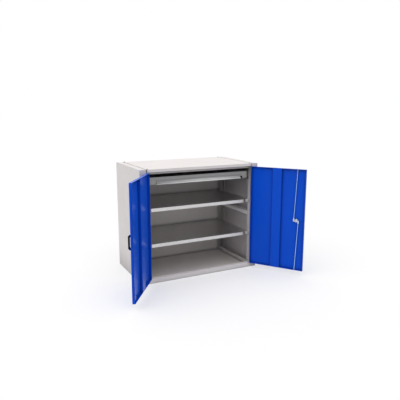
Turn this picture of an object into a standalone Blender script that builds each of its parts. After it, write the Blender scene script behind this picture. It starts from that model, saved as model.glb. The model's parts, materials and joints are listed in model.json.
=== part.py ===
"""Tool cabinet: a sheet-steel carcass with two doors, a drawer on telescopic slides and two shelves.

Metres, +Z up. The origin is the middle of the carcass footprint, on the ground. The front faces -Y.
Every piece is drawn with the doors and the drawer shut. An empty on each joint axis carries the
pieces that move, and the doors are then swung open to their resting angles.
"""

import math

import bmesh
import bpy
from mathutils import Matrix, Vector

# Carcass
WIDTH = 0.985
DEPTH = 0.550
HEIGHT = 0.850
SHEET = 0.0012
SEAT_GAP = 0.0003
POST_FACE = 0.050
POST_SIDE = 0.040
FRONT_POST_RETURN = 0.056
REAR_POST_RETURN = 0.040
SIDE_FLANGE = 0.011
SIDE_RAIL_HEIGHT = 0.424
SIDE_RAIL_TALL = 0.027
SIDE_RAIL_DEEP = 0.044
BACK_FLANGE = 0.011
FLOOR_SHEET = 0.0015
FLOOR_RAIL_TALL = 0.030
FLOOR_RAIL_LIP = 0.012
TOP_LIP = 0.0205
TOP_SEAM_GAP = 0.006
STOP_DROP = 0.016
STOP_PLAY = 0.0008
SILL_HEIGHT = 0.036
SILL_LEDGE = 0.033

# Screws that hold the top panel to the ledges of the top strips
TOP_LEDGE = 0.025
TOP_SCREW_IN = 0.0135
TOP_SCREW_BACK = 0.016
TOP_SCREW_RADIUS = 0.0025
TOP_SCREW_LENGTH = 0.010
SCREW_CLEARANCE = 0.0004
PAN_HEAD_RADIUS = 0.0050
PAN_HEAD_HEIGHT = 0.0034

# Shelves
SHELF_HEIGHTS = {"upper": 0.557, "lower": 0.287}
SHELF_LIP = 0.025
SHELF_FRONT = 0.040
SHELF_BACK_SPACE = 0.018
SHELF_SIDE_REACH = 0.0045
SHELF_NOTCH = 0.0475
SHELF_POST_SPACE = 0.004
SUPPORT_WIDE = 0.018
SUPPORT_TALL = 0.026
SUPPORT_ON_POST = 0.034

# Doors
DOOR_SHEET = 0.0010
DOOR_THICK = 0.020
DOOR_HINGE_GAP = 0.004
DOOR_END_GAP = 0.002
DOOR_MEETING_GAP = 0.003
DOORS_OPEN = 125.0
STIFFENER_WIDE = 0.070
STIFFENER_TO_HINGE = 0.005
OVERLAP_STRIP_WIDE = 0.030
OVERLAP_STRIP_REACH = 0.013
OVERLAP_STRIP_END_SPACE = 0.030
OVERLAP_STRIP_PLAY = 0.0004

# Hinges, one along the whole edge of each door
HINGE_END_SPACE = 0.006
KNUCKLES = 11
KNUCKLE_RADIUS = 0.0027
HINGE_PIN_RADIUS = 0.0013
HINGE_PIN_HEAD = 0.0012
HINGE_PLAY = 0.0003
KNUCKLE_SIDES = 16
LEAF_DEEP = 0.018
LEAF_SHEET = 0.0012

# Handles
HANDLE_LENGTH = 0.100
HANDLE_REACH = 0.024
HANDLE_WIDE = 0.012
HANDLE_BAR = 0.0105
HANDLE_FOOT = 0.014
HANDLE_CHAMFER = 0.009
HANDLE_FROM_EDGE = 0.030
HANDLE_ABOVE_LOCK = 0.0095
HANDLE_ROUNDING = 0.0015

# Lock and rods
LOCK_FROM_EDGE = 0.0655
LOCK_BELOW_MIDDLE = 0.0022
LOCK_FLANGE_RADIUS = 0.012
LOCK_FLANGE_THICK = 0.003
LOCK_BODY_RADIUS = 0.009
LOCK_BODY_INSIDE = 0.0135
LOCK_BARREL_RADIUS = 0.006
LOCK_NUT_RADIUS = 0.014
LOCK_NUT_THICK = 0.004
LOCK_SQUARE = 0.006
KEYHOLE_TALL = 0.007
KEYHOLE_WIDE = 0.0015
KEYHOLE_DEEP = 0.004
CAM_RADIUS = 0.018
CAM_HALF_WIDE = 0.0055
CAM_THICK = 0.002
CAM_SCREW_RADIUS = 0.0045
CAM_SCREW_THICK = 0.0015
CAM_PIN_RADIUS = 0.0020
CAM_PIN_HEAD_RADIUS = 0.0035
CAM_PIN_HEAD_THICK = 0.0010
ROD_RADIUS = 0.0027
ROD_EYE_RADIUS = 0.0050
ROD_EYE_THICK = 0.0025
ROD_NECK = 0.016
ROD_INSIDE_EDGE = 0.0004
ROD_SIDEPLAY = 0.0045
ROD_CLEARANCE = 0.0010

# Drawer and its slides
DRAWER_FRONT_DEPTH = 0.038
DRAWER_SIDE_SPACE = 0.0255
DRAWER_BELOW_TOP = 0.064
DRAWER_FRONT_TALL = 0.053
DRAWER_FRONT_THICK = 0.008
DRAWER_SHEET = 0.0010
TRAY_INSET = 0.023
TRAY_LIFT = 0.003
TRAY_TALL = 0.046
GRIP_INSET = 0.055
GRIP_CAP = 0.009
GRIP_TALL = 0.030
GRIP_REACH = 0.014
GRIP_LIP = 0.008
GRIP_WALL = 0.002
SLIDE_TALL = 0.045
SLIDE_THICK = 0.0127
SLIDE_SHEET = 0.0012
SLIDE_FRONT = 0.050
SLIDE_BACK_SPACE = 0.050
SLIDE_MIDDLE_OPEN = 0.0020
DRAWER_RAIL_LIP = 0.020
LEVER_LONG = 0.060
LEVER_TALL = 0.008
LEVER_THICK = 0.004
LEVER_FROM_FRONT = 0.130
LEVER_PIN_RADIUS = 0.002

# Plain sizes worked out from those above
HALF_WIDTH = WIDTH / 2
FRONT = -DEPTH / 2
BACK = DEPTH / 2
POST_INNER = HALF_WIDTH - POST_FACE
BAY_HALF = POST_INNER - SEAT_GAP
ON_FLOOR = FLOOR_SHEET + SEAT_GAP
UNDER_TOP = HEIGHT - SHEET - SEAT_GAP
TOP_SEAM = BAY_HALF - SHEET
TOP_HALF = TOP_SEAM - TOP_SEAM_GAP
LIP_BOTTOM = HEIGHT - TOP_LIP
DOOR_BOTTOM = SILL_HEIGHT + DOOR_END_GAP
DOOR_TOP = LIP_BOTTOM - DOOR_END_GAP
DOOR_HINGE_EDGE = POST_INNER - DOOR_HINGE_GAP
DOOR_FREE_EDGE = DOOR_MEETING_GAP / 2
DOOR_BACK = FRONT + DOOR_THICK
STIFFENER_X = (DOOR_HINGE_EDGE + DOOR_FREE_EDGE) / 2 + STIFFENER_TO_HINGE
HINGE_X = POST_INNER - DOOR_HINGE_GAP / 2
HINGE_Y = FRONT - KNUCKLE_RADIUS - SEAT_GAP
LOCK_X = DOOR_FREE_EDGE + LOCK_FROM_EDGE
LOCK_HEIGHT = (DOOR_BOTTOM + DOOR_TOP) / 2 - LOCK_BELOW_MIDDLE
DRAWER_FRONT_HALF = POST_INNER - DRAWER_SIDE_SPACE
TRAY_HALF = DRAWER_FRONT_HALF - TRAY_INSET
GRIP_HALF = DRAWER_FRONT_HALF - GRIP_INSET - GRIP_CAP
SLIDE_LONG = DEPTH - SLIDE_FRONT - SLIDE_BACK_SPACE
DRAWER_FRONT_BOTTOM = HEIGHT - DRAWER_BELOW_TOP - DRAWER_FRONT_TALL
TRAY_BOTTOM = DRAWER_FRONT_BOTTOM + TRAY_LIFT
SLIDE_MIDDLE_Z = DRAWER_FRONT_BOTTOM + DRAWER_FRONT_TALL / 2
SLIDE_INNER_FACE = TRAY_HALF + SEAT_GAP
RAIL_FACE = SLIDE_INNER_FACE + SLIDE_THICK + SEAT_GAP
TRAY_FRONT = FRONT + DRAWER_FRONT_DEPTH + DRAWER_FRONT_THICK + SEAT_GAP

# Drawing settings: how far cutters reach past a wall, and the facets of round pieces
SIDES = {"left": -1, "right": 1}
MORE = 0.002
ROUND_SIDES = 16
SLOT_END_SIDES = 8
COVE_STEPS = 6
NUT_SIDES = 6
WELD = 0.00005
AXIS_MARK = 0.03
SMOOTH_ANGLE = math.radians(40)
ROUNDING_ANGLE = math.radians(60)
ROUNDING_STEPS = 2

# Finishes: colour, roughness, metallic
FINISHES = {
    "grey_paint": ((0.82, 0.80, 0.79, 1), 0.45, 0.0),
    "inner_grey_paint": ((0.76, 0.73, 0.71, 1), 0.50, 0.0),
    "blue_paint": ((0.004, 0.080, 0.700, 1), 0.35, 0.0),
    "drawer_grey_paint": ((0.42, 0.42, 0.42, 1), 0.45, 0.0),
    "zinc_steel": ((0.66, 0.67, 0.70, 1), 0.35, 1.0),
    "dark_steel": ((0.100, 0.100, 0.105, 1), 0.40, 1.0),
    "bright_aluminium": ((0.60, 0.60, 0.60, 1), 0.35, 1.0),
    "black_plastic": ((0.012, 0.011, 0.014, 1), 0.45, 0.0),
    "chrome": ((0.80, 0.80, 0.82, 1), 0.12, 1.0),
}


def clear_scene():
    for thing in list(bpy.data.objects):
        bpy.data.objects.remove(thing, do_unlink=True)


def finish(name):
    """The named material, made the first time it is asked for."""
    material = bpy.data.materials.get(name)
    if material:
        return material
    colour, roughness, metallic = FINISHES[name]
    material = bpy.data.materials.new(name)
    material.use_nodes = True
    shader = material.node_tree.nodes["Principled BSDF"]
    shader.inputs["Base Color"].default_value = colour
    shader.inputs["Roughness"].default_value = roughness
    shader.inputs["Metallic"].default_value = metallic
    material.diffuse_color = colour
    return material


def joint_axis(name, where, parent=None):
    """An empty at a joint, which carries the pieces that move with it."""
    empty = bpy.data.objects.new(name, None)
    empty.empty_display_size = AXIS_MARK
    bpy.context.scene.collection.objects.link(empty)
    empty.location = where
    empty["shut_place"] = where
    if parent:
        empty.parent = parent
        empty.matrix_parent_inverse = Matrix.Translation(-Vector(parent["shut_place"]))
    return empty


def piece(name, mesh, material, axis=None):
    """A named object. One that moves hangs on its joint's empty, in the place it has when shut."""
    body = bpy.data.objects.new(name, mesh)
    bpy.context.scene.collection.objects.link(body)
    mesh.materials.append(finish(material))
    if axis:
        body.parent = axis
        body.matrix_parent_inverse = Matrix.Translation(-Vector(axis["shut_place"]))
    return body


def helper(name, mesh, axis=None):
    """A shape that cuts or joins another, left out of renders."""
    shape = piece(name, mesh, "zinc_steel", axis)
    shape.hide_render = True
    shape.display_type = "WIRE"
    return shape


def cut(body, cutter):
    modifier = body.modifiers.new("cut " + cutter.name, "BOOLEAN")
    modifier.operation = "DIFFERENCE"
    modifier.solver = "EXACT"
    modifier.object = cutter


def join(body, other):
    modifier = body.modifiers.new("join " + other.name, "BOOLEAN")
    modifier.operation = "UNION"
    modifier.solver = "EXACT"
    modifier.object = other


def mesh_from(bm, name):
    mesh = bpy.data.meshes.new(name)
    bmesh.ops.recalc_face_normals(bm, faces=bm.faces)
    bm.to_mesh(mesh)
    bm.free()
    return mesh


def add_box(bm, low, high):
    size = [h - l for l, h in zip(low, high)]
    middle = [(h + l) / 2 for l, h in zip(low, high)]
    bmesh.ops.create_cube(bm, size=1, matrix=Matrix.Translation(middle) @ Matrix.Diagonal((*size, 1)))


def boxes(name, corners):
    """One mesh of separate boxes, each given by two opposite corners."""
    bm = bmesh.new()
    for one, other in corners:
        low = [min(a, b) for a, b in zip(one, other)]
        high = [max(a, b) for a, b in zip(one, other)]
        add_box(bm, low, high)
    return mesh_from(bm, name)


def add_prism(bm, outline, place, start, end):
    """A flat outline of (a, b) points carried from start to end. place(a, b, t) gives each point."""
    rings = [[bm.verts.new(place(a, b, t)) for a, b in outline] for t in (start, end)]
    bm.faces.new(rings[0])
    bm.faces.new(reversed(rings[1]))
    count = len(outline)
    for i in range(count):
        j = (i + 1) % count
        bm.faces.new((rings[0][i], rings[0][j], rings[1][j], rings[1][i]))


def prism(name, outline, place, start, end):
    bm = bmesh.new()
    add_prism(bm, outline, place, start, end)
    return mesh_from(bm, name)


def along_x(a, b, t):
    return (t, a, b)


def along_y(a, b, t):
    return (a, t, b)


def along_z(a, b, t):
    return (a, b, t)


def circle(radius, middle=(0, 0), sides=ROUND_SIDES):
    """Points round a circle, with flats square to the axes."""
    step = 2 * math.pi / sides
    return [
        (middle[0] + radius * math.cos((i + 0.5) * step), middle[1] + radius * math.sin((i + 0.5) * step))
        for i in range(sides)
    ]


def slot_outline(half_long, radius, middle):
    """A round-ended slot that runs along the first of its two axes."""
    points = []
    for end in (1, -1):
        for i in range(SLOT_END_SIDES + 1):
            angle = math.pi * i / SLOT_END_SIDES - math.pi / 2 + (0 if end > 0 else math.pi)
            across = radius * math.sin(angle)
            points.append((middle[0] + end * half_long + radius * math.cos(angle), middle[1] + across))
    return points


def folded_strip(points, thick):
    """The outline of a strip of sheet folded along points, with its thickness on the left of the path."""
    path = [Vector(p) for p in points]
    offset = []
    for i, p in enumerate(path):
        before = (p - path[i - 1]).normalized() if i else None
        after = (path[i + 1] - p).normalized() if i + 1 < len(path) else None
        runs = [d for d in (before, after) if d is not None]
        normals = [Vector((-d.y, d.x)) for d in runs]
        across = sum(normals, Vector((0, 0))).normalized()
        offset.append(p + across * (thick / across.dot(normals[0])))
    return [tuple(p) for p in path] + [tuple(p) for p in reversed(offset)]


def mirrored(outline, side):
    """An outline drawn for the right side, moved to the given side."""
    return [(a * side, b) for a, b in outline]


def folded_sheet(name, faces, side=1):
    """Flat faces that meet at folds. Faces wind anticlockwise seen from outside."""
    bm = bmesh.new()
    for face in faces:
        points = [(x * side, y, z) for x, y, z in face]
        if side < 0:
            points.reverse()
        bm.faces.new([bm.verts.new(p) for p in points])
    bmesh.ops.remove_doubles(bm, verts=bm.verts, dist=WELD)
    mesh = bpy.data.meshes.new(name)
    bm.to_mesh(mesh)
    bm.free()
    return mesh


def thicken(body, thick):
    modifier = body.modifiers.new("sheet", "SOLIDIFY")
    modifier.thickness = thick
    modifier.offset = -1
    modifier.use_even_offset = True


def sheet_piece(name, faces, thick, material, side=1, axis=None):
    body = piece(name, folded_sheet(name, faces, side), material, axis)
    thicken(body, thick)
    return body


def pan_faces(low, high, axis, outwards):
    """A face across the given axis, on its outward side, with a flange along each of its four edges."""
    others = [i for i in range(3) if i != axis]
    face_at = high[axis] if outwards > 0 else low[axis]
    edge_at = low[axis] if outwards > 0 else high[axis]

    def point(first, second, level):
        p = [0, 0, 0]
        p[others[0]] = first
        p[others[1]] = second
        p[axis] = level
        return tuple(p)

    ring = [
        (low[others[0]], low[others[1]]),
        (high[others[0]], low[others[1]]),
        (high[others[0]], high[others[1]]),
        (low[others[0]], high[others[1]]),
    ]
    # Two axes taken in rising order turn anticlockwise about X and Z, and clockwise about Y.
    if (outwards > 0) == (axis == 1):
        ring.reverse()
    faces = [[point(a, b, face_at) for a, b in ring]]
    for i in range(4):
        here, after = ring[i], ring[(i + 1) % 4]
        flange = [(*here, edge_at), (*after, edge_at), (*after, face_at), (*here, face_at)]
        faces.append([point(*corner) for corner in flange])
    return faces


def turned(name, steps, place, sides=ROUND_SIDES):
    """A round piece: steps are (radius, start, end) lengths laid end to end along one axis."""
    bm = bmesh.new()
    rings = []
    for radius, start, end in steps:
        for t in (start, end):
            rings.append([bm.verts.new(place(a, b, t)) for a, b in circle(radius, sides=sides)])
    bm.faces.new(rings[0])
    bm.faces.new(reversed(rings[-1]))
    for one, other in zip(rings, rings[1:]):
        for i in range(sides):
            j = (i + 1) % sides
            bm.faces.new((one[i], one[j], other[j], other[i]))
    mesh = mesh_from(bm, name)
    mesh.shade_smooth()
    mesh.set_sharp_from_angle(angle=SMOOTH_ANGLE)
    return mesh


def merge(name, meshes):
    """One mesh of separate solids."""
    bm = bmesh.new()
    for mesh in meshes:
        bm.from_mesh(mesh)
        bpy.data.meshes.remove(mesh)
    whole = bpy.data.meshes.new(name)
    bm.to_mesh(whole)
    bm.free()
    return whole


# Carcass


def make_posts():
    for label, side in SIDES.items():
        outer, inner = HALF_WIDTH, POST_INNER
        front_path = [
            (inner, FRONT + FRONT_POST_RETURN),
            (inner, FRONT),
            (outer, FRONT),
            (outer, FRONT + POST_SIDE),
        ]
        rear_path = [
            (outer, BACK - POST_SIDE),
            (outer, BACK),
            (inner, BACK),
            (inner, BACK - REAR_POST_RETURN),
        ]
        for where, path in (("front", front_path), ("rear", rear_path)):
            name = f"{where}_post_{label}"
            outline = mirrored(folded_strip(path, SHEET), side)
            piece(name, prism(name, outline, along_z, ON_FLOOR, UNDER_TOP), "grey_paint")


def make_sides():
    front_edge = FRONT + POST_SIDE + SEAT_GAP
    back_edge = BACK - POST_SIDE - SEAT_GAP
    for label, side in SIDES.items():
        low = (HALF_WIDTH - SIDE_FLANGE, front_edge, ON_FLOOR)
        high = (HALF_WIDTH, back_edge, UNDER_TOP)
        sheet_piece(f"side_panel_{label}", pan_faces(low, high, 0, 1), SHEET, "grey_paint", side)

        skin = HALF_WIDTH - SHEET - SEAT_GAP
        rail_top = SIDE_RAIL_HEIGHT + SIDE_RAIL_TALL
        path = [
            (skin, rail_top),
            (skin - SIDE_RAIL_DEEP, rail_top),
            (skin - SIDE_RAIL_DEEP, SIDE_RAIL_HEIGHT),
            (skin, SIDE_RAIL_HEIGHT),
        ]
        name = f"side_rail_{label}"
        outline = mirrored(folded_strip(path, SHEET), side)
        inside = SHEET + SEAT_GAP
        mesh = prism(name, outline, along_y, front_edge + inside, back_edge - inside)
        piece(name, mesh, "inner_grey_paint")


def make_back():
    back = BACK - SHEET - SEAT_GAP
    low = (-BAY_HALF, back - BACK_FLANGE, ON_FLOOR)
    high = (BAY_HALF, back, LIP_BOTTOM - SEAT_GAP)
    sheet_piece("back_panel", pan_faces(low, high, 1, -1), SHEET, "inner_grey_paint")


def make_floor():
    """A plate under everything, with a low angle welded on it along each side, from post to post."""
    plate = ((-HALF_WIDTH, FRONT, 0), (HALF_WIDTH, BACK, FLOOR_SHEET))
    floor = piece("floor_panel", boxes("floor_panel", [plate]), "inner_grey_paint")
    path = [
        (POST_INNER + FLOOR_RAIL_LIP, FLOOR_RAIL_TALL),
        (POST_INNER, FLOOR_RAIL_TALL),
        (POST_INNER, FLOOR_SHEET / 2),
    ]
    start = FRONT + FRONT_POST_RETURN + SEAT_GAP
    end = BACK - REAR_POST_RETURN - SEAT_GAP
    for label, side in SIDES.items():
        name = f"floor_rail_{label}"
        outline = mirrored(folded_strip(path, SHEET), side)
        join(floor, helper(name, prism(name, outline, along_y, start, end)))


def make_top_strips(drill):
    """A strip over each pair of posts, with a sunk ledge that the top panel lies on."""
    ledge_top = UNDER_TOP
    ledge_low = ledge_top - SHEET
    inside = SHEET + SEAT_GAP
    overlap = HEIGHT - SHEET / 2
    ledge = [
        (BAY_HALF, ledge_low),
        (BAY_HALF, overlap),
        (TOP_SEAM, overlap),
        (TOP_SEAM, ledge_top),
        (TOP_SEAM - TOP_LEDGE, ledge_top),
        (TOP_SEAM - TOP_LEDGE, ledge_low),
    ]
    for label, side in SIDES.items():
        name = f"top_strip_{label}"
        plate = ((side * TOP_SEAM, FRONT, HEIGHT - SHEET), (side * HALF_WIDTH, BACK, HEIGHT))
        strip = piece(name, boxes(name, [plate]), "grey_paint")
        under = prism(f"{name}_ledge", mirrored(ledge, side), along_y, FRONT + inside, BACK - inside)
        join(strip, helper(f"{name}_ledge", under))
        cut(strip, drill)


def make_top():
    path = [(FRONT, LIP_BOTTOM), (FRONT, HEIGHT), (BACK, HEIGHT), (BACK, LIP_BOTTOM)]
    outline = folded_strip(list(reversed(path)), SHEET)
    top = piece("top_panel", prism("top_panel", outline, along_x, -TOP_HALF, TOP_HALF), "grey_paint")

    holes = []
    hole = circle(TOP_SCREW_RADIUS + SCREW_CLEARANCE)
    for label, side in SIDES.items():
        for where, end in (("front", -1), ("rear", 1)):
            x = side * (POST_INNER - TOP_SCREW_IN)
            y = end * (DEPTH / 2 - TOP_SCREW_BACK)
            shifted = [(x + a, y + b) for a, b in hole]
            holes.append(prism("hole", shifted, along_z, UNDER_TOP - SHEET - MORE, HEIGHT + MORE))

            def screw_place(a, b, t, x=x, y=y):
                return (x + a, y + b, HEIGHT + SEAT_GAP - t)

            name = f"top_screw_{where}_{label}"
            head = (PAN_HEAD_RADIUS, -PAN_HEAD_HEIGHT, 0)
            shank = (TOP_SCREW_RADIUS, 0, TOP_SCREW_LENGTH)
            piece(name, turned(name, [head, shank], screw_place), "dark_steel")
    drill = helper("top_screw_holes", merge("top_screw_holes", holes))
    cut(top, drill)
    make_top_strips(drill)


def rod_y():
    """How far back the rods run, just in front of the lock cam."""
    return FRONT + DOOR_SHEET + LOCK_BODY_INSIDE - ROD_EYE_THICK / 2


def rod_slot(name, upward, low, high, axis=None):
    """The slot that a rod end slides and sways in, across a door flange or its keeper."""
    middle = (LOCK_X + upward * ROD_SIDEPLAY / 2, rod_y())
    outline = slot_outline(ROD_SIDEPLAY / 2 + ROD_CLEARANCE, ROD_RADIUS + ROD_CLEARANCE, middle)
    return helper(name, prism(name, outline, along_z, low, high), axis)


def make_stop_rail():
    ledge = LIP_BOTTOM + SHEET
    stop = DOOR_BACK + STOP_PLAY
    path = [
        (FRONT + SHEET + SEAT_GAP, ledge),
        (stop + SHEET, ledge),
        (stop + SHEET, LIP_BOTTOM - STOP_DROP),
    ]
    outline = folded_strip(list(reversed(path)), SHEET)
    mesh = prism("door_stop_rail", outline, along_x, -BAY_HALF, BAY_HALF)
    rail = piece("door_stop_rail", mesh, "inner_grey_paint")
    cut(rail, rod_slot("upper_keeper_slot", 1, LIP_BOTTOM - MORE, ledge + MORE))


def make_sill():
    path = [
        (FRONT, ON_FLOOR),
        (FRONT, SILL_HEIGHT),
        (FRONT + SILL_LEDGE, SILL_HEIGHT),
        (FRONT + SILL_LEDGE, ON_FLOOR),
    ]
    outline = folded_strip(list(reversed(path)), SHEET)
    sill = piece("sill", prism("sill", outline, along_x, -BAY_HALF, BAY_HALF), "grey_paint")
    cut(sill, rod_slot("lower_keeper_slot", -1, SILL_HEIGHT - SHEET - MORE, SILL_HEIGHT + MORE))


# Shelves


def make_shelf(label, top):
    front = FRONT + SHELF_FRONT
    back = BACK - SHELF_BACK_SPACE
    wing_front = FRONT + FRONT_POST_RETURN + SHELF_POST_SPACE
    wing_back = BACK - REAR_POST_RETURN - SHELF_POST_SPACE
    wing = POST_INNER + SHELF_SIDE_REACH
    front_half = POST_INNER - SHELF_NOTCH
    back_half = POST_INNER - SHELF_POST_SPACE
    right_half = [
        (front_half, front),
        (front_half, wing_front),
        (wing, wing_front),
        (wing, wing_back),
        (back_half, wing_back),
        (back_half, back),
    ]
    plan = right_half + [(-x, y) for x, y in reversed(right_half)]
    faces = [[(x, y, top) for x, y in plan]]
    folds = [
        ((-front_half, front), (front_half, front)),
        ((wing, wing_front), (wing, wing_back)),
        ((back_half, back), (-back_half, back)),
        ((-wing, wing_back), (-wing, wing_front)),
    ]
    for start, end in folds:
        low = top - SHELF_LIP
        faces.append([(*start, low), (*end, low), (*end, top), (*start, top)])
    sheet_piece(f"shelf_{label}", faces, SHEET, "zinc_steel")


def make_shelf_supports(label, shelf_top):
    """An angle on each side, from post to post. Its upright is on the posts, the shelf on its top."""
    top = shelf_top - SHEET - SEAT_GAP
    low = top - SUPPORT_TALL
    outer = BAY_HALF
    inner = outer - SUPPORT_WIDE
    tab = FRONT + FRONT_POST_RETURN + SHELF_POST_SPACE / 2
    start = tab - SUPPORT_ON_POST
    end = BACK - SHELF_BACK_SPACE - SHEET - SEAT_GAP
    for hand, side in SIDES.items():
        name = f"shelf_support_{label}_{hand}"
        upright = ((side * outer, start, low), (side * (outer - SHEET), end, top))
        ledge = ((side * outer, tab, top - SHEET), (side * inner, end, top))
        front = ((side * outer, tab, low), (side * inner, tab + SHEET, top))
        support = piece(name, boxes(name, [upright]), "zinc_steel")
        join(support, helper(f"{name}_ledge", boxes(f"{name}_ledge", [ledge])))
        join(support, helper(f"{name}_tab", boxes(f"{name}_tab", [front])))


def make_shelves():
    for label, top in SHELF_HEIGHTS.items():
        make_shelf(label, top)
        make_shelf_supports(label, top)


# Doors


def knuckle_spans(first):
    """Every other knuckle along a hinge, from the first or the second one up."""
    low = DOOR_BOTTOM + HINGE_END_SPACE
    step = (DOOR_TOP - HINGE_END_SPACE - low) / KNUCKLES
    play = HINGE_PLAY / 2
    return [(low + i * step + play, low + (i + 1) * step - play) for i in range(first, KNUCKLES, 2)]


def make_leaf(name, side, plate_outer, spans, axis=None):
    """A hinge leaf: a long plate beside the door edge, with knuckles rolled round the pin."""
    low = DOOR_BOTTOM + HINGE_END_SPACE
    high = DOOR_TOP - HINGE_END_SPACE
    outer = side * plate_outer
    inner = side * (plate_outer - LEAF_SHEET)
    plate = ((outer, FRONT, low), (inner, FRONT + LEAF_DEEP, high))
    leaf = piece(name, boxes(name, [plate]), "zinc_steel", axis)

    middle = (side * HINGE_X, HINGE_Y)
    neck = HINGE_Y + HINGE_PIN_RADIUS + HINGE_PLAY + LEAF_SHEET / 4
    necks = [((outer, neck, start), (inner, FRONT + MORE, end)) for start, end in spans]
    join(leaf, helper(f"{name}_necks", boxes(f"{name}_necks", necks), axis))
    ring = circle(KNUCKLE_RADIUS, middle, KNUCKLE_SIDES)
    rolled = merge(f"{name}_rolled", [prism("roll", ring, along_z, start, end) for start, end in spans])
    join(leaf, helper(f"{name}_rolled", rolled, axis))
    bore = circle(HINGE_PIN_RADIUS + HINGE_PLAY, middle, KNUCKLE_SIDES)
    cut(leaf, helper(f"{name}_bore", prism(f"{name}_bore", bore, along_z, low - MORE, high + MORE), axis))


def make_hinge(label, side, axis):
    door_plate = DOOR_HINGE_EDGE + SEAT_GAP + LEAF_SHEET
    make_leaf(f"{label}_hinge_frame_leaf", side, BAY_HALF, knuckle_spans(0))
    make_leaf(f"{label}_hinge_door_leaf", side, door_plate, knuckle_spans(1), axis)

    def pin_place(a, b, t):
        return (side * HINGE_X + a, HINGE_Y + b, t)

    low = DOOR_BOTTOM + HINGE_END_SPACE
    top = DOOR_TOP - HINGE_END_SPACE + HINGE_PLAY
    steps = [(HINGE_PIN_RADIUS, low, top), (KNUCKLE_RADIUS, top, top + HINGE_PIN_HEAD)]
    name = f"{label}_hinge_pin"
    piece(name, turned(name, steps, pin_place), "zinc_steel")


def make_handle(label, side, axis):
    """A bow handle with chamfered ends, on the front of a door."""
    half = HANDLE_LENGTH / 2
    face = FRONT - SEAT_GAP
    outer = face - HANDLE_REACH
    bar = outer + HANDLE_BAR
    inner_half = half - HANDLE_FOOT
    inner_chamfer = HANDLE_CHAMFER / 2
    upper = [
        (face, half),
        (outer + HANDLE_CHAMFER, half),
        (outer, half - HANDLE_CHAMFER),
    ]
    inside = [
        (bar, inner_half - inner_chamfer),
        (bar + inner_chamfer, inner_half),
        (face, inner_half),
    ]
    outline = upper + [(y, -z) for y, z in reversed(upper)]
    outline += [(y, -z) for y, z in reversed(inside)] + inside
    outline = [(y, LOCK_HEIGHT + HANDLE_ABOVE_LOCK + z) for y, z in outline]
    middle = side * (DOOR_FREE_EDGE + HANDLE_FROM_EDGE)
    name = f"{label}_door_handle"
    mesh = prism(name, outline, along_x, middle - HANDLE_WIDE / 2, middle + HANDLE_WIDE / 2)
    handle = piece(name, mesh, "black_plastic", axis)
    rounding = handle.modifiers.new("rounding", "BEVEL")
    rounding.width = HANDLE_ROUNDING
    rounding.segments = ROUNDING_STEPS
    rounding.limit_method = "ANGLE"
    rounding.angle_limit = ROUNDING_ANGLE


def make_door(label, side, axis):
    low = (DOOR_FREE_EDGE, FRONT, DOOR_BOTTOM)
    high = (DOOR_HINGE_EDGE, DOOR_BACK, DOOR_TOP)
    faces = pan_faces(low, high, 1, -1)
    panel = sheet_piece(f"{label}_door_panel", faces, DOOR_SHEET, "blue_paint", side, axis)

    skin = FRONT + DOOR_SHEET + SEAT_GAP
    half = STIFFENER_WIDE / 2
    path = [
        (STIFFENER_X - half, skin),
        (STIFFENER_X - half, DOOR_BACK),
        (STIFFENER_X + half, DOOR_BACK),
        (STIFFENER_X + half, skin),
    ]
    outline = mirrored(folded_strip(list(reversed(path)), DOOR_SHEET), side)
    inside = DOOR_SHEET + SEAT_GAP
    name = f"{label}_door_stiffener"
    mesh = prism(name, outline, along_z, DOOR_BOTTOM + inside, DOOR_TOP - inside)
    piece(name, mesh, "blue_paint", axis)
    make_hinge(label, side, axis)
    make_handle(label, side, axis)
    return panel


def make_overlap_strip(axis):
    """A flat strip behind the left door's free edge, which reaches behind the right door."""
    near = DOOR_BACK + OVERLAP_STRIP_PLAY
    reach = OVERLAP_STRIP_REACH - DOOR_FREE_EDGE
    corners = (
        (reach - OVERLAP_STRIP_WIDE, near, DOOR_BOTTOM + OVERLAP_STRIP_END_SPACE),
        (reach, near + DOOR_SHEET, DOOR_TOP - OVERLAP_STRIP_END_SPACE),
    )
    piece("left_overlap_strip", boxes("left_overlap_strip", [corners]), "blue_paint", axis)


# Lock and rods


def lock_place(a, b, t):
    return (LOCK_X + a, FRONT + t, LOCK_HEIGHT + b)


def lock_steps():
    """How far the parts of the lock lie behind the front of the door."""
    body_back = DOOR_SHEET + LOCK_BODY_INSIDE
    cam_front = body_back + SEAT_GAP
    cam_back = cam_front + CAM_THICK
    return body_back, cam_front, cam_back


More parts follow.
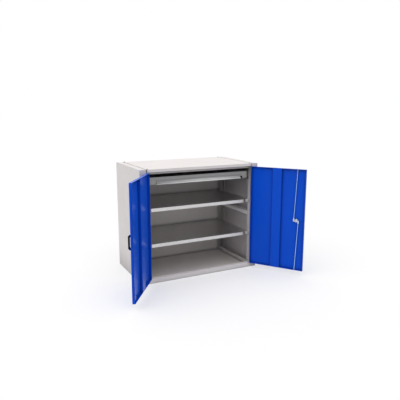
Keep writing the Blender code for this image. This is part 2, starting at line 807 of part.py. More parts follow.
def make_lock(panel, door_axis, lock_axis):
    body_back, cam_front, cam_back = lock_steps()
    flange_front = -LOCK_FLANGE_THICK - SEAT_GAP
    body = piece(
        "lock_body",
        turned(
            "lock_body",
            [(LOCK_FLANGE_RADIUS, flange_front, -SEAT_GAP), (LOCK_BODY_RADIUS, -SEAT_GAP, body_back)],
            lock_place,
        ),
        "chrome",
        door_axis,
    )
    bore = prism(
        "lock_bore",
        circle(LOCK_BARREL_RADIUS + SEAT_GAP),
        lock_place,
        flange_front - MORE,
        body_back + MORE,
    )
    cut(body, helper("lock_bore", bore, door_axis))

    hole = prism("lock_hole", circle(LOCK_BODY_RADIUS + SEAT_GAP), lock_place, -MORE, DOOR_SHEET + MORE)
    cut(panel, helper("lock_hole", hole, door_axis))

    nut_front = DOOR_SHEET + SEAT_GAP
    nut_back = nut_front + LOCK_NUT_THICK
    nut = prism("lock_nut", circle(LOCK_NUT_RADIUS, sides=NUT_SIDES), lock_place, nut_front, nut_back)
    nut_piece = piece("lock_nut", nut, "zinc_steel", door_axis)
    thread = prism(
        "lock_thread",
        circle(LOCK_BODY_RADIUS + SEAT_GAP),
        lock_place,
        nut_front - MORE,
        nut_back + MORE,
    )
    cut(nut_piece, helper("lock_thread", thread, door_axis))

    barrel = piece(
        "lock_barrel",
        turned("lock_barrel", [(LOCK_BARREL_RADIUS, flange_front, body_back)], lock_place),
        "chrome",
        lock_axis,
    )
    half = LOCK_SQUARE / 2
    square = [(-half, -half), (half, -half), (half, half), (-half, half)]
    end = prism("lock_square", square, lock_place, body_back - MORE, cam_back)
    join(barrel, helper("lock_square", end, lock_axis))
    keyhole = [
        (-KEYHOLE_WIDE / 2, -KEYHOLE_TALL / 2),
        (KEYHOLE_WIDE / 2, -KEYHOLE_TALL / 2),
        (KEYHOLE_WIDE / 2, KEYHOLE_TALL / 2),
        (-KEYHOLE_WIDE / 2, KEYHOLE_TALL / 2),
    ]
    key_cut = prism("keyhole", keyhole, lock_place, flange_front - MORE, flange_front + KEYHOLE_DEEP)
    cut(barrel, helper("keyhole", key_cut, lock_axis))

    arm = slot_outline(CAM_RADIUS, CAM_HALF_WIDE, (0, 0))
    cam_mesh = prism("lock_cam", arm, lock_place, cam_front, cam_back)
    cam = piece("lock_cam", cam_mesh, "zinc_steel", lock_axis)
    grown = half + SEAT_GAP
    square_hole = [(-grown, -grown), (grown, -grown), (grown, grown), (-grown, grown)]
    opening = prism("cam_square_hole", square_hole, lock_place, cam_front - MORE, cam_back + MORE)
    cut(cam, helper("cam_square_hole", opening, lock_axis))

    head = turned(
        "lock_cam_screw",
        [(CAM_SCREW_RADIUS, cam_back + SEAT_GAP, cam_back + SEAT_GAP + CAM_SCREW_THICK)],
        lock_place,
    )
    piece("lock_cam_screw", head, "zinc_steel", lock_axis)

    eye_front = cam_front - SEAT_GAP - ROD_EYE_THICK
    for label, end in (("upper", 1), ("lower", -1)):

        def pin_place(a, b, t, end=end):
            return lock_place(end * CAM_RADIUS + a, b, t)

        front_head = eye_front - SEAT_GAP
        steps = [
            (CAM_PIN_HEAD_RADIUS, front_head - CAM_PIN_HEAD_THICK, front_head),
            (CAM_PIN_RADIUS, front_head, cam_back - CAM_THICK / 2),
        ]
        name = f"cam_pin_{label}"
        join(cam, helper(name, turned(name, steps, pin_place), lock_axis))


def rod_shape(upward):
    """Pin point, tip point and lean of a rod, with the lock open. upward is 1 for the upper rod."""
    pin = (LOCK_X + upward * CAM_RADIUS, LOCK_HEIGHT)
    end = DOOR_TOP - ROD_INSIDE_EDGE if upward > 0 else DOOR_BOTTOM + ROD_INSIDE_EDGE
    rise = end - LOCK_HEIGHT
    length = math.hypot(CAM_RADIUS, rise)
    lean = math.atan2(CAM_RADIUS, abs(rise))
    return pin, length, lean


def make_rod(name, upward, axis):
    """A round rod with a flat eye on the cam pin, leaning towards its slot in the door flange."""
    pin, length, lean = rod_shape(upward)
    _, cam_front, _ = lock_steps()
    eye_back = FRONT + cam_front - SEAT_GAP
    eye_front = eye_back - ROD_EYE_THICK
    turn = Matrix.Rotation(lean, 2)

    def eye_place(a, b, t):
        along = turn @ Vector((a, b))
        return (pin[0] + upward * along.x, t, pin[1] + upward * along.y)

    def shank_place(a, b, t):
        along = turn @ Vector((a, t))
        return (pin[0] + upward * along.x, rod_y() + b, pin[1] + upward * along.y)

    tongue = slot_outline((ROD_NECK + MORE) / 2, ROD_EYE_RADIUS, (0, 0))
    tongue = [(b, a + (ROD_NECK + MORE) / 2) for a, b in reversed(tongue)]
    eye = piece(name, prism(name, tongue, eye_place, eye_front, eye_back), "zinc_steel", axis)
    shank = prism(f"{name}_shank", circle(ROD_RADIUS), shank_place, ROD_NECK - ROD_EYE_RADIUS / 2, length)
    join(eye, helper(f"{name}_shank", shank, axis))
    hole = prism(
        f"{name}_hole",
        circle(CAM_PIN_RADIUS + SEAT_GAP),
        eye_place,
        eye_front - MORE,
        eye_back + MORE,
    )
    cut(eye, helper(f"{name}_hole", hole, axis))


# Drawer


def make_slide_rails():
    low = SLIDE_MIDDLE_Z - SLIDE_TALL / 2
    high = SLIDE_MIDDLE_Z + SLIDE_TALL / 2
    outer = BAY_HALF
    path = [
        (outer, low - DRAWER_RAIL_LIP),
        (outer, low),
        (RAIL_FACE + SHEET, low),
        (RAIL_FACE + SHEET, high),
        (outer, high),
        (outer, high + DRAWER_RAIL_LIP),
    ]
    front = FRONT + SLIDE_FRONT
    back = BACK - SHEET - SEAT_GAP - BACK_FLANGE - SEAT_GAP
    for label, side in SIDES.items():
        name = f"drawer_rail_{label}"
        outline = mirrored(folded_strip(path, SHEET), side)
        piece(name, prism(name, outline, along_y, front, back), "inner_grey_paint")


def slide_channel(half_tall, web, edge):
    """A channel on its side: its web stands at one distance from the middle, its open edge at another."""
    path = [(edge, half_tall), (web, half_tall), (web, -half_tall), (edge, -half_tall)]
    path = [(x, SLIDE_MIDDLE_Z + z) for x, z in path]
    if web > edge:
        path.reverse()
    return folded_strip(path, SLIDE_SHEET)


def make_slides(middle_axis, drawer_axis, lever_axes):
    step = SLIDE_SHEET + SEAT_GAP
    half = SLIDE_TALL / 2
    outer_web = SLIDE_INNER_FACE + SLIDE_THICK
    middle_web = outer_web - step
    front = FRONT + SLIDE_FRONT
    back = front + SLIDE_LONG
    inner_edge = middle_web - step
    members = [
        ("outer", half, outer_web, SLIDE_INNER_FACE + SLIDE_MIDDLE_OPEN, None),
        ("middle", half - step, middle_web, SLIDE_INNER_FACE + SLIDE_MIDDLE_OPEN, middle_axis),
        ("inner", half - 2 * step, SLIDE_INNER_FACE, inner_edge, drawer_axis),
    ]
    for label, side in SIDES.items():
        for member, half_tall, web, edge, axis in members:
            name = f"slide_{member}_{label}"
            outline = mirrored(slide_channel(half_tall, web, edge), side)
            channel = piece(name, prism(name, outline, along_y, front, back), "zinc_steel", axis)
            if member == "inner":
                join(channel, lever_pin(label, side, axis))
        make_lever(label, side, lever_axes[label])


def lever_places():
    """How far the release lever lies from the middle of the drawer, and its pivot along the slide."""
    near = SLIDE_INNER_FACE + SLIDE_SHEET + SEAT_GAP
    return near, FRONT + SLIDE_FRONT + LEVER_FROM_FRONT


def lever_pin(label, side, axis):
    near, pivot = lever_places()
    start = SLIDE_INNER_FACE + SLIDE_SHEET / 2
    pin = [(pivot + a, SLIDE_MIDDLE_Z + b) for a, b in circle(LEVER_PIN_RADIUS)]
    mesh = prism("lever_pin", pin, along_x, side * start, side * (near + LEVER_THICK))
    return helper(f"lever_pin_{label}", mesh, axis)


def make_lever(label, side, axis):
    near, pivot = lever_places()
    tail = LEVER_TALL / 2
    outline = slot_outline(LEVER_LONG / 2, tail, (pivot - LEVER_LONG / 2, SLIDE_MIDDLE_Z))
    mesh = prism("lever", outline, along_x, side * near, side * (near + LEVER_THICK))
    lever = piece(f"slide_release_{label}", mesh, "black_plastic", axis)
    hole = [(pivot + a, SLIDE_MIDDLE_Z + b) for a, b in circle(LEVER_PIN_RADIUS + SEAT_GAP)]
    drill = prism("lever_hole", hole, along_x, side * (near - MORE), side * (near + LEVER_THICK + MORE))
    cut(lever, helper(f"lever_hole_{label}", drill, axis))


def cove(reach, drop, middle, start, end):
    """Part of the quarter of an ellipse that runs from behind its middle to below it."""
    points = []
    for i in range(COVE_STEPS + 1):
        angle = start + (end - start) * i / COVE_STEPS
        points.append((middle[0] + reach * math.cos(angle), middle[1] - drop * math.sin(angle)))
    return points


def grip_outline(seat, outer, top):
    """A strip that sweeps forward as it comes down, ends in a lip, and has a leg on the drawer front."""
    foot = DRAWER_FRONT_BOTTOM
    back = seat - GRIP_WALL
    inner = outer + GRIP_WALL
    reach = back - outer
    drop = GRIP_TALL - GRIP_LIP
    grown = reach + GRIP_WALL
    face = cove(reach, drop, (outer, top), 0, math.pi / 2)
    leg_meets = math.acos(reach / grown)
    lip_meets = math.acos(GRIP_WALL / grown)
    under = cove(grown, drop + GRIP_WALL, (outer, top), lip_meets, leg_meets)
    return [(seat, top)] + face + [(outer, foot), (inner, foot)] + under + [(back, foot), (seat, foot)]


def make_drawer(axis):
    face = FRONT + DRAWER_FRONT_DEPTH
    low = (-DRAWER_FRONT_HALF, face, DRAWER_FRONT_BOTTOM)
    high = (DRAWER_FRONT_HALF, face + DRAWER_FRONT_THICK, DRAWER_FRONT_BOTTOM + DRAWER_FRONT_TALL)
    piece("drawer_front", boxes("drawer_front", [(low, high)]), "drawer_grey_paint", axis)

    tray_low = (-TRAY_HALF, TRAY_FRONT, TRAY_BOTTOM)
    tray_high = (TRAY_HALF, TRAY_FRONT + SLIDE_LONG, TRAY_BOTTOM + TRAY_TALL)
    faces = pan_faces(tray_low, tray_high, 2, -1)
    sheet_piece("drawer_tray", faces, DRAWER_SHEET, "drawer_grey_paint", 1, axis)

    seat = face - SEAT_GAP
    outer = seat - GRIP_REACH
    top = DRAWER_FRONT_BOTTOM + GRIP_TALL
    outline = grip_outline(seat, outer, top)
    strip = prism("drawer_grip", outline, along_x, -GRIP_HALF, GRIP_HALF)
    piece("drawer_grip", strip, "bright_aluminium", axis)
    block = ((GRIP_HALF + SEAT_GAP, outer, DRAWER_FRONT_BOTTOM), (GRIP_HALF + GRIP_CAP, seat, top))
    piece("drawer_grip_cap", boxes("drawer_grip_cap", [block]), "black_plastic", axis)


def make_door_joints():
    left = joint_axis("left_door_hinge", (-HINGE_X, HINGE_Y, 0))
    right = joint_axis("right_door_hinge", (HINGE_X, HINGE_Y, 0))
    make_door("left", SIDES["left"], left)
    make_overlap_strip(left)
    panel = make_door("right", SIDES["right"], right)
    flange = DOOR_SHEET + MORE
    cut(panel, rod_slot("upper_door_slot", 1, DOOR_TOP - flange, DOOR_TOP + MORE, right))
    cut(panel, rod_slot("lower_door_slot", -1, DOOR_BOTTOM - MORE, DOOR_BOTTOM + flange, right))

    lock = joint_axis("lock_turn", (LOCK_X, FRONT, LOCK_HEIGHT), right)
    make_lock(panel, right, lock)
    for name, upward in (("rod_top", 1), ("rod_bottom", -1)):
        pin, _, _ = rod_shape(upward)
        axis = joint_axis(f"{name}_pivot", (pin[0], rod_y(), pin[1]), lock)
        make_rod(name, upward, axis)

    left.rotation_euler.z = -math.radians(DOORS_OPEN)
    right.rotation_euler.z = math.radians(DOORS_OPEN)


def make_drawer_joints():
    start = (0, FRONT + DRAWER_FRONT_DEPTH, SLIDE_MIDDLE_Z)
    drawer = joint_axis("drawer_slide", start)
    middles = joint_axis("slide_middle_slide", start)
    near, pivot = lever_places()
    levers = {
        label: joint_axis(f"slide_release_{label}_pivot", (side * near, pivot, SLIDE_MIDDLE_Z), drawer)
        for label, side in SIDES.items()
    }
    make_slides(middles, drawer, levers)
    make_drawer(drawer)


def main():
    clear_scene()
    make_posts()
    make_sides()
    make_back()
    make_floor()
    make_top()
    make_stop_rail()
    make_sill()
    make_shelves()
    make_slide_rails()
    make_door_joints()
    make_drawer_joints()


main()
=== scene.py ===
"""Looks of the tool cabinet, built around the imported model.

Metres, +Z up, in the frame of the part: the origin is the middle of the carcass footprint, on the
ground, and the front faces -Y.
"""

import json
import math

import bmesh
import bpy
from mathutils import Matrix, Vector

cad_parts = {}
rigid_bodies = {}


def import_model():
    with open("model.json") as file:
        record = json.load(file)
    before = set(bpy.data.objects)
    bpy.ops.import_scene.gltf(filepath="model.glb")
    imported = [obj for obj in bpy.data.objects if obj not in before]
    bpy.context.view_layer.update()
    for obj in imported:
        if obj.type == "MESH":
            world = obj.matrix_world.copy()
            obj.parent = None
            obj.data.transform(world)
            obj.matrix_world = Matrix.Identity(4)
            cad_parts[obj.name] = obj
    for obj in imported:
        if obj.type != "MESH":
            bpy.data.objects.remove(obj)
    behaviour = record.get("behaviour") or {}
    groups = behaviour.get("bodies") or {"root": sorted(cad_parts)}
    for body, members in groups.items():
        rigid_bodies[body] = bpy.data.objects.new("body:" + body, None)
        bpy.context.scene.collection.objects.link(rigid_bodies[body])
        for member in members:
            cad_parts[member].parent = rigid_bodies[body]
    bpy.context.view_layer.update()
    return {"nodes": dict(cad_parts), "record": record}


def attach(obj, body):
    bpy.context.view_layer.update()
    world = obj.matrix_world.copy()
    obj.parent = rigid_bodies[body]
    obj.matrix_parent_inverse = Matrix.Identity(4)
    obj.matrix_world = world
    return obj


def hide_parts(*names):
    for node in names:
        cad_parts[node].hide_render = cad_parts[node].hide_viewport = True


# Camera, from a fit to the straight edges of the carcass
CAMERA_PLACE = (-1.551, -3.304, 1.272)
CAMERA_FORWARD = (0.44292, 0.87505, -0.19519)
CAMERA_LENS = 41.34
CAMERA_SENSOR = 36.0
CAMERA_FAR = 200.0

# Light
DOME_COLOUR = (0.94, 0.97, 1.0, 1)
DOME_STRENGTH = 0.55
TOP_LIGHT_COLOUR = (1.0, 0.97, 0.94)
TOP_LIGHT_STRENGTH = 1.75
TOP_LIGHT_SPREAD = math.radians(100)
TOP_LIGHT_TILT = (math.radians(13), math.radians(-18), 0)
TOP_LIGHT_HEIGHT = 3.0
FLOOR_COLOUR = (0.57, 0.57, 0.57, 1)
FLOOR_ROUGHNESS = 0.9
FLOOR_GLOW = 0.43
FLOOR_HALF = 60.0
FLOOR_BELOW = 0.0005
WHITE = (1, 1, 1, 1)

# Colours
BODY_GREY = (0.820, 0.776, 0.764, 1)
# The sill in a lighter copy of the body grey: painted light on its front
SILL_PAINTED_LIGHT = (0.838, 0.793, 0.781, 1)
INNER_GREY = (0.760, 0.718, 0.695, 1)
# The side rails in near-white: painted light on their lit upper faces
RAIL_PAINTED_LIGHT = (0.970, 0.940, 0.920, 1)
# The drawer rails in dark grey: painted shade in the dim gap beside the drawer
RAIL_PAINTED_SHADE = (0.260, 0.255, 0.255, 1)
DRAWER_GREY = (0.380, 0.377, 0.370, 1)
DOOR_BLUE = (0.0036, 0.090, 0.715, 1)
BLUE_SHEEN = (0.10, 0.34, 1.0, 1)
ZINC = (0.620, 0.612, 0.606, 1)
BRIGHT_ZINC = (0.490, 0.545, 0.690, 1)
ROD_ZINC = (0.420, 0.660, 0.920, 1)
DARK_STEEL = (0.100, 0.100, 0.105, 1)
# The grip: its darker tone is partly painted shade under the lip above it, and its lighter one a painted
# highlight
ALUMINIUM = (0.245, 0.245, 0.244, 1)
GRIP_PAINTED_HIGHLIGHT = (0.800, 0.800, 0.798, 1)
BLACK = (0.0040, 0.0038, 0.0060, 1)
CHROME = (0.800, 0.805, 0.820, 1)

# Nodes whose finish differs from the rest of their slot, some only by painted light or shade
OWN_FINISHES = {
    "rod_top": "rod_zinc",
    "rod_bottom": "rod_zinc",
    "lock_cam": "bright_zinc",
    "sill": "sill_painted_light",
    "side_rail_left": "rail_painted_light",
    "side_rail_right": "rail_painted_light",
    "drawer_rail_left": "rail_painted_shade",
    "drawer_rail_right": "rail_painted_shade",
}

# Masks that the finishes share
NOISE_BAND = (0.3, 0.7)
EDGE_BAND = (0.80, 0.98)
EDGE_SAMPLES = 6
# The corner mask drives the painted shade in hollows
CORNER_BAND = (0.45, 0.95)
CORNER_SAMPLES = 8

# Powder coat
COAT_CLOUD = (5.0, 3.0)
COAT_CLOUD_SHADES = (0.975, 1.02)
COAT_FLECK = (1400.0, 1.0)
COAT_FLECK_BAND = (0.55, 0.80)
COAT_FLECK_MOST = 0.25
COAT_FLECK_SHADE = 0.90
COAT_WEAR = (55.0, 4.0)
COAT_WEAR_BAND = (0.45, 0.65)
COAT_WEAR_MOST = 0.6
COAT_EDGE = 0.0016
COAT_GLOSS = (30.0, 4.0)
COAT_GLOSS_SPREAD = (-0.05, 0.06)
COAT_PEEL = (330.0, 2.0)
COAT_PEEL_STRENGTH = 0.10
COAT_PEEL_DEPTH = 0.0006
SHEEN_WEIGHT = 0.30
SHEEN_ROUGHNESS = 0.35

# Zinc plate
ZINC_CLOUD = (60.0, 4.0)
ZINC_CLOUD_BAND = (0.35, 0.65)
ZINC_CLOUD_SHADES = (0.92, 1.05)
ZINC_EDGE = 0.0006
ZINC_EDGE_SHADE = 1.12
ZINC_GLOSS = (140.0, 3.0)
ZINC_GLOSS_SPREAD = (-0.07, 0.09)
ZINC_GRAIN = (700.0, 2.0)
ZINC_GRAIN_STRENGTH = 0.06
ZINC_GRAIN_DEPTH = 0.0004

# Brushed metal
BRUSH_LINES = (1.0, 3.0)
BRUSH_STRETCH = (6.0, 2400.0, 2400.0)
BRUSH_SHADES = (0.94, 1.04)
BRUSH_GLOSS_SPREAD = (-0.05, 0.08)
BRUSH_EDGE = 0.0006
BRUSH_STRENGTH = 0.06
BRUSH_DEPTH = 0.0003
BRUSH_METALLIC = 0.35

# Moulded plastic
MOULD_GRAIN = (1600.0, 2.0)
MOULD_GRAIN_STRENGTH = 0.25
MOULD_GRAIN_DEPTH = 0.0003
MOULD_CLOUD = (40.0, 3.0)
MOULD_CLOUD_SHADES = (0.85, 1.35)
MOULD_EDGE = 0.0008
MOULD_EDGE_SHADE = 1.6
MOULD_GLOSS_SPREAD = (-0.06, 0.10)
MOULD_SPECULAR = 0.05

# Chrome plate
CHROME_MARKS = (220.0, 4.0)
CHROME_MARKS_BAND = (0.4, 0.7)
CHROME_SHADES = (1.0, 0.93)
CHROME_GLOSS_BAND = (0.35, 0.75)
CHROME_GLOSS_SPREAD = (0.0, 0.12)
CHROME_EDGE = 0.0004

# Places on the cabinet, with the doors and the drawer shut
FRONT = -0.275
HINGE_X = 0.4405
HINGE_PROUD = 0.003
HINGE_Y = FRONT - HINGE_PROUD
DOORS_OPEN = math.radians(125.0)
DOOR_SHEET = 0.0010
TOP = 0.850
SEAT_GAP = 0.0003

# Sides, ends and turns
SIDES = {"left": -1, "right": 1}
ENDS = {"front": -1, "rear": 1}
QUARTER_TURN = math.pi / 2
HERE = Matrix.Identity(4)
UPWARDS = Matrix.Identity(3)
BACKWARDS = Matrix.Rotation(-QUARTER_TURN, 3, "X")

# Screws and rivets, each head by its radius and height and each shank by its radius and length
TOP_SCREW_X = 0.429
TOP_SCREW_Y = 0.259
TOP_SCREW_HEAD = (0.0050, 0.0033)
TOP_SCREW_SHANK = (0.0025, 0.0100)
HANDLE_X = 0.0315
HANDLE_HEIGHT = 0.440
HANDLE_STUDS_APART = 0.086
HANDLE_STUD_HEAD = (0.0040, 0.0008)
HANDLE_STUD_SHANK = (0.0020, 0.0040)
LOCK_X = 0.067
LOCK_HEIGHT = 0.43055
CAM_SCREW_DEEP = 0.0171
CAM_SCREW_HEAD = (0.0045, 0.0018)
CAM_SCREW_SHANK = (0.0017, 0.0010)
DRAWER_SCREW_XS = (-0.30, -0.10, 0.10, 0.30)
DRAWER_SCREW_DEEP = 0.0473
DRAWER_SCREW_HEIGHT = 0.760
DRAWER_SCREW_HEAD = (0.0045, 0.0030)
DRAWER_SCREW_SHANK = (0.0020, 0.0050)
RIVET_HEAD = (0.0032, 0.00035)
RIVET_SHANK = (0.0015, 0.0008)
RIVET_DEEP = 0.0100
RIVET_LOW = 0.075
RIVET_STEP = 0.1186
RIVETS = 7
RIVET_STAGGER = 0.020
LEAF_HALF_GAP = 0.0005
FRAME_LEAF_FACE = HINGE_X + LEAF_HALF_GAP
DOOR_LEAF_FACE = HINGE_X - LEAF_HALF_GAP

# Shapes of the heads, as shares of a head's radius and height
SCREW_DOME = ((1.0, 0.22), (0.93, 0.50), (0.78, 0.74), (0.55, 0.91), (0.28, 0.98))
RIVET_DOME = ((0.90, 0.60), (0.55, 0.95))
ROUND_SIDES = 24
CROSS_LONG = 0.52
CROSS_WIDE = 0.16
CROSS_DEEP = 0.55
CROSS_CLEAR = 1.5
CROSS_TAPER = 0.7

# Dark strips in the seams of the top, standing in for the shade down in the seams
SEAM_X = 0.4380
SEAM_HALF_WIDE = 0.0027
SEAM_HALF_LONG = 0.2732
SEAM_DEEP = 0.0012
SEAM_EDGE_DEEP = 0.0007
SEAM_CROWN = 0.0005
SEAM_STEPS = 6
SEAM_LOW = TOP - SEAM_DEEP
SEAM_EDGE = TOP - SEAM_EDGE_DEEP

# Drawer grip: a strip along the foot of the drawer front, swept forward to a lip
GRIP_START = -0.353
GRIP_END = 0.3542
GRIP_BEHIND = 0.0377
GRIP_DEEP = 0.014
GRIP_TALL = 0.030
GRIP_SEAT = FRONT + GRIP_BEHIND
GRIP_OUTER = GRIP_SEAT - GRIP_DEEP
GRIP_BOTTOM = 0.733
GRIP_TOP = GRIP_BOTTOM + GRIP_TALL
GRIP_LIP = 0.008
GRIP_WALL = 0.002
GRIP_STEPS = 16

# Painted highlight along the lower part of the grip: full below, gone above, highest at its middle
HIGHLIGHT_FULL_TALL = 0.004
HIGHLIGHT_GONE = 0.027
HIGHLIGHT_MIDDLE = 0.050
HIGHLIGHT_BOW = 0.090
HIGHLIGHT_BAND = (GRIP_BOTTOM + HIGHLIGHT_FULL_TALL, GRIP_BOTTOM + HIGHLIGHT_GONE)

# End piece of the grip
GRIP_CAP_LONG = 0.013
GRIP_CAP_TALL = 0.0172
GRIP_CAP_ROUND = 0.003
GRIP_CAP_START = GRIP_END + SEAT_GAP
GRIP_CAP_END = GRIP_CAP_START + GRIP_CAP_LONG

# Soft edges of a solid block, and the angle from which a smooth mesh keeps an edge sharp
BLOCK_EDGE = 0.0010
BLOCK_EDGE_STEPS = 3
SOFT_ANGLE = math.radians(40)


class Nodes:
    """A material's node tree, with short ways to add and join nodes."""

    def __init__(self, name):
        self.material = bpy.data.materials.new(name)
        self.material.use_nodes = True
        self.tree = self.material.node_tree
        self.shader = self.tree.nodes["Principled BSDF"]

    def add(self, kind, **settings):
        """A new node of a kind, with its settings."""
        node = self.tree.nodes.new("ShaderNode" + kind)
        for key, value in settings.items():
            setattr(node, key, value)
        return node

    def link(self, out, into):
        self.tree.links.new(out, into)

    def set(self, name, value):
        """Sets one of the shader's own values."""
        self.shader.inputs[name].default_value = value

    def drive(self, name, value):
        """Joins the output of a node to the shader."""
        self.link(value, self.shader.inputs[name])

    def place(self):
        """Where a point is on its piece."""
        return self.add("TexCoord").outputs["Object"]

    def stretched(self, scale):
        """The same place, scaled on its own along each axis."""
        mapping = self.add("Mapping")
        mapping.inputs["Scale"].default_value = scale
        self.link(self.place(), mapping.inputs["Vector"])
        return mapping.outputs["Vector"]

    def noise(self, pattern, where=None):
        """Noise of a pattern, which is its scale in waves per metre and its detail."""
        scale, detail = pattern
        node = self.add("TexNoise")
        node.inputs["Scale"].default_value = scale
        node.inputs["Detail"].default_value = detail
        self.link(where or self.place(), node.inputs["Vector"])
        return node.outputs["Fac"]

    def ramp(self, value, band, low=0.0, high=1.0):
        """Runs from low to high while the value runs over a band, and stays there beyond it."""
        node = self.add("MapRange")
        node.inputs["From Min"].default_value = band[0]
        node.inputs["From Max"].default_value = band[1]
        node.inputs["To Min"].default_value = low
        node.inputs["To Max"].default_value = high
        self.link(value, node.inputs["Value"])
        return node.outputs["Result"]

    def combine(self, operation, one, other):
        """A sum, product or the like of two values, each from a node or a plain number."""
        node = self.add("Math", operation=operation)
        for value, socket in zip((one, other), node.inputs):
            if isinstance(value, float):
                socket.default_value = value
            else:
                self.link(value, socket)
        return node.outputs[0]

    def mix(self, factor, one, other):
        """One colour where the factor is 0 and the other where it is 1."""
        node = self.add("Mix", data_type="RGBA")
        self.link(factor, node.inputs["Factor"])
        for name, value in (("A", one), ("B", other)):
            socket = [s for s in node.inputs if s.name == name and s.type == "RGBA"][0]
            if isinstance(value, tuple):
                socket.default_value = value
            else:
                self.link(value, socket)
        return [s for s in node.outputs if s.type == "RGBA"][0]

    def tones(self, factor, colour, shades):
        """A colour that runs from one shade of itself to another."""
        return self.mix(factor, shade(colour, shades[0]), shade(colour, shades[1]))

    def gloss(self, mask, band, roughness, spread):
        """Roughness that varies with a mask, from a little shinier to a little duller."""
        self.drive("Roughness", self.ramp(mask, band, roughness + spread[0], roughness + spread[1]))

    def bump(self, height, strength, depth, normal):
        """Fine relief on top of a normal."""
        node = self.add("Bump")
        node.inputs["Strength"].default_value = strength
        node.inputs["Distance"].default_value = depth
        self.link(height, node.inputs["Height"])
        self.link(normal, node.inputs["Normal"])
        self.drive("Normal", node.outputs["Normal"])

    def soft_edge(self, radius):
        """The normal with edges rounded off, and a mask that is 1 along them."""
        bevel = self.add("Bevel", samples=EDGE_SAMPLES)
        bevel.inputs["Radius"].default_value = radius
        dot = self.add("VectorMath", operation="DOT_PRODUCT")
        self.link(bevel.outputs["Normal"], dot.inputs[0])
        self.link(self.add("NewGeometry").outputs["Normal"], dot.inputs[1])
        return bevel.outputs["Normal"], self.ramp(dot.outputs["Value"], EDGE_BAND, low=1.0, high=0.0)

    def openness(self, distance):
        """How open a point is to its surroundings: 1 in the open, 0 in a tight corner."""
        node = self.add("AmbientOcclusion", samples=CORNER_SAMPLES)
        node.inputs["Distance"].default_value = distance
        return self.ramp(node.outputs["AO"], CORNER_BAND)


def shade(colour, factor):
    """A darker or lighter colour, and none brighter than white."""
    return tuple(min(c * factor, 1.0) for c in colour[:3]) + (1,)


def powder_coat(name, colour, roughness, specular, worn, painted_corner_shade, peel=COAT_PEEL_STRENGTH):
    """Sprayed and baked paint: faint orange peel, cloudy tone, rubbed edges and painted shade that
    darkens each corner.

    worn is the shade of rubbed edges, painted_corner_shade gives how far the painted shade reaches out
    of a corner and how dark it is there, and peel is the strength of the orange peel.
    """
    n = Nodes(name)
    tone = n.tones(n.ramp(n.noise(COAT_CLOUD), NOISE_BAND), colour, COAT_CLOUD_SHADES)
    fleck = n.ramp(n.noise(COAT_FLECK), COAT_FLECK_BAND, high=COAT_FLECK_MOST)
    tone = n.mix(fleck, tone, shade(colour, COAT_FLECK_SHADE))
    normal, edge = n.soft_edge(COAT_EDGE)
    wear = n.ramp(n.noise(COAT_WEAR), COAT_WEAR_BAND, high=COAT_WEAR_MOST)
    tone = n.mix(n.combine("MULTIPLY", edge, wear), tone, shade(colour, worn))
    reach, painted_shade_factor = painted_corner_shade
    # Painted shade: the colour darkens towards a hollow or fold, where shade falls
    n.drive("Base Color", n.mix(n.openness(reach), shade(colour, painted_shade_factor), tone))
    n.gloss(n.noise(COAT_GLOSS), NOISE_BAND, roughness, COAT_GLOSS_SPREAD)
    n.bump(n.noise(COAT_PEEL), peel, COAT_PEEL_DEPTH, normal)
    n.set("Specular IOR Level", specular)
    return n.material


def glossy_blue():
    """The door paint: a glossy coat with a faint blue sheen where it is seen along its surface."""
    # The darker flanges and folds of the doors are painted shade
    material = powder_coat(
        "door_blue", DOOR_BLUE, roughness=0.20, specular=0.09, worn=1.10, painted_corner_shade=(0.03, 0.50), peel=0.03
    )
    shader = material.node_tree.nodes["Principled BSDF"]
    shader.inputs["Sheen Weight"].default_value = SHEEN_WEIGHT
    shader.inputs["Sheen Roughness"].default_value = SHEEN_ROUGHNESS
    shader.inputs["Sheen Tint"].default_value = BLUE_SHEEN
    return material


def zinc_plate(name, colour, roughness):
    """Zinc-plated steel: cloudy, with a small spread of gloss and brighter rubbed edges."""
    n = Nodes(name)
    tone = n.tones(n.ramp(n.noise(ZINC_CLOUD), ZINC_CLOUD_BAND), colour, ZINC_CLOUD_SHADES)
    normal, edge = n.soft_edge(ZINC_EDGE)
    n.drive("Base Color", n.mix(edge, tone, shade(colour, ZINC_EDGE_SHADE)))
    n.gloss(n.noise(ZINC_GLOSS), NOISE_BAND, roughness, ZINC_GLOSS_SPREAD)
    n.bump(n.noise(ZINC_GRAIN), ZINC_GRAIN_STRENGTH, ZINC_GRAIN_DEPTH, normal)
    n.set("Metallic", 1.0)
    return n.material


def brushed_metal(name, colour, rubbed, roughness):
    """Drawn and satin-finished strip with fine lines along X, and a painted highlight low on it.

    rubbed is the colour of the painted highlight, which is low on the strip and reaches highest near the
    middle.
    """
    n = Nodes(name)
    lines = n.noise(BRUSH_LINES, n.stretched(BRUSH_STRETCH))
    streak = n.ramp(lines, NOISE_BAND)
    axes = n.add("SeparateXYZ")
    n.link(n.place(), axes.inputs["Vector"])
    aside = n.combine("SUBTRACT", axes.outputs["X"], HIGHLIGHT_MIDDLE)
    bow = n.combine("MULTIPLY", n.combine("MULTIPLY", aside, aside), HIGHLIGHT_BOW)
    level = n.combine("ADD", axes.outputs["Z"], bow)
    # Painted highlight: a lighter band low on the grip, highest at its middle
    painted_highlight_mask = n.ramp(level, HIGHLIGHT_BAND, low=1.0, high=0.0)
    dull = n.tones(streak, colour, BRUSH_SHADES)
    bright = n.tones(streak, rubbed, BRUSH_SHADES)
    n.drive("Base Color", n.mix(painted_highlight_mask, dull, bright))
    n.gloss(lines, NOISE_BAND, roughness, BRUSH_GLOSS_SPREAD)
    normal, _ = n.soft_edge(BRUSH_EDGE)
    n.bump(lines, BRUSH_STRENGTH, BRUSH_DEPTH, normal)
    n.set("Metallic", BRUSH_METALLIC)
    return n.material


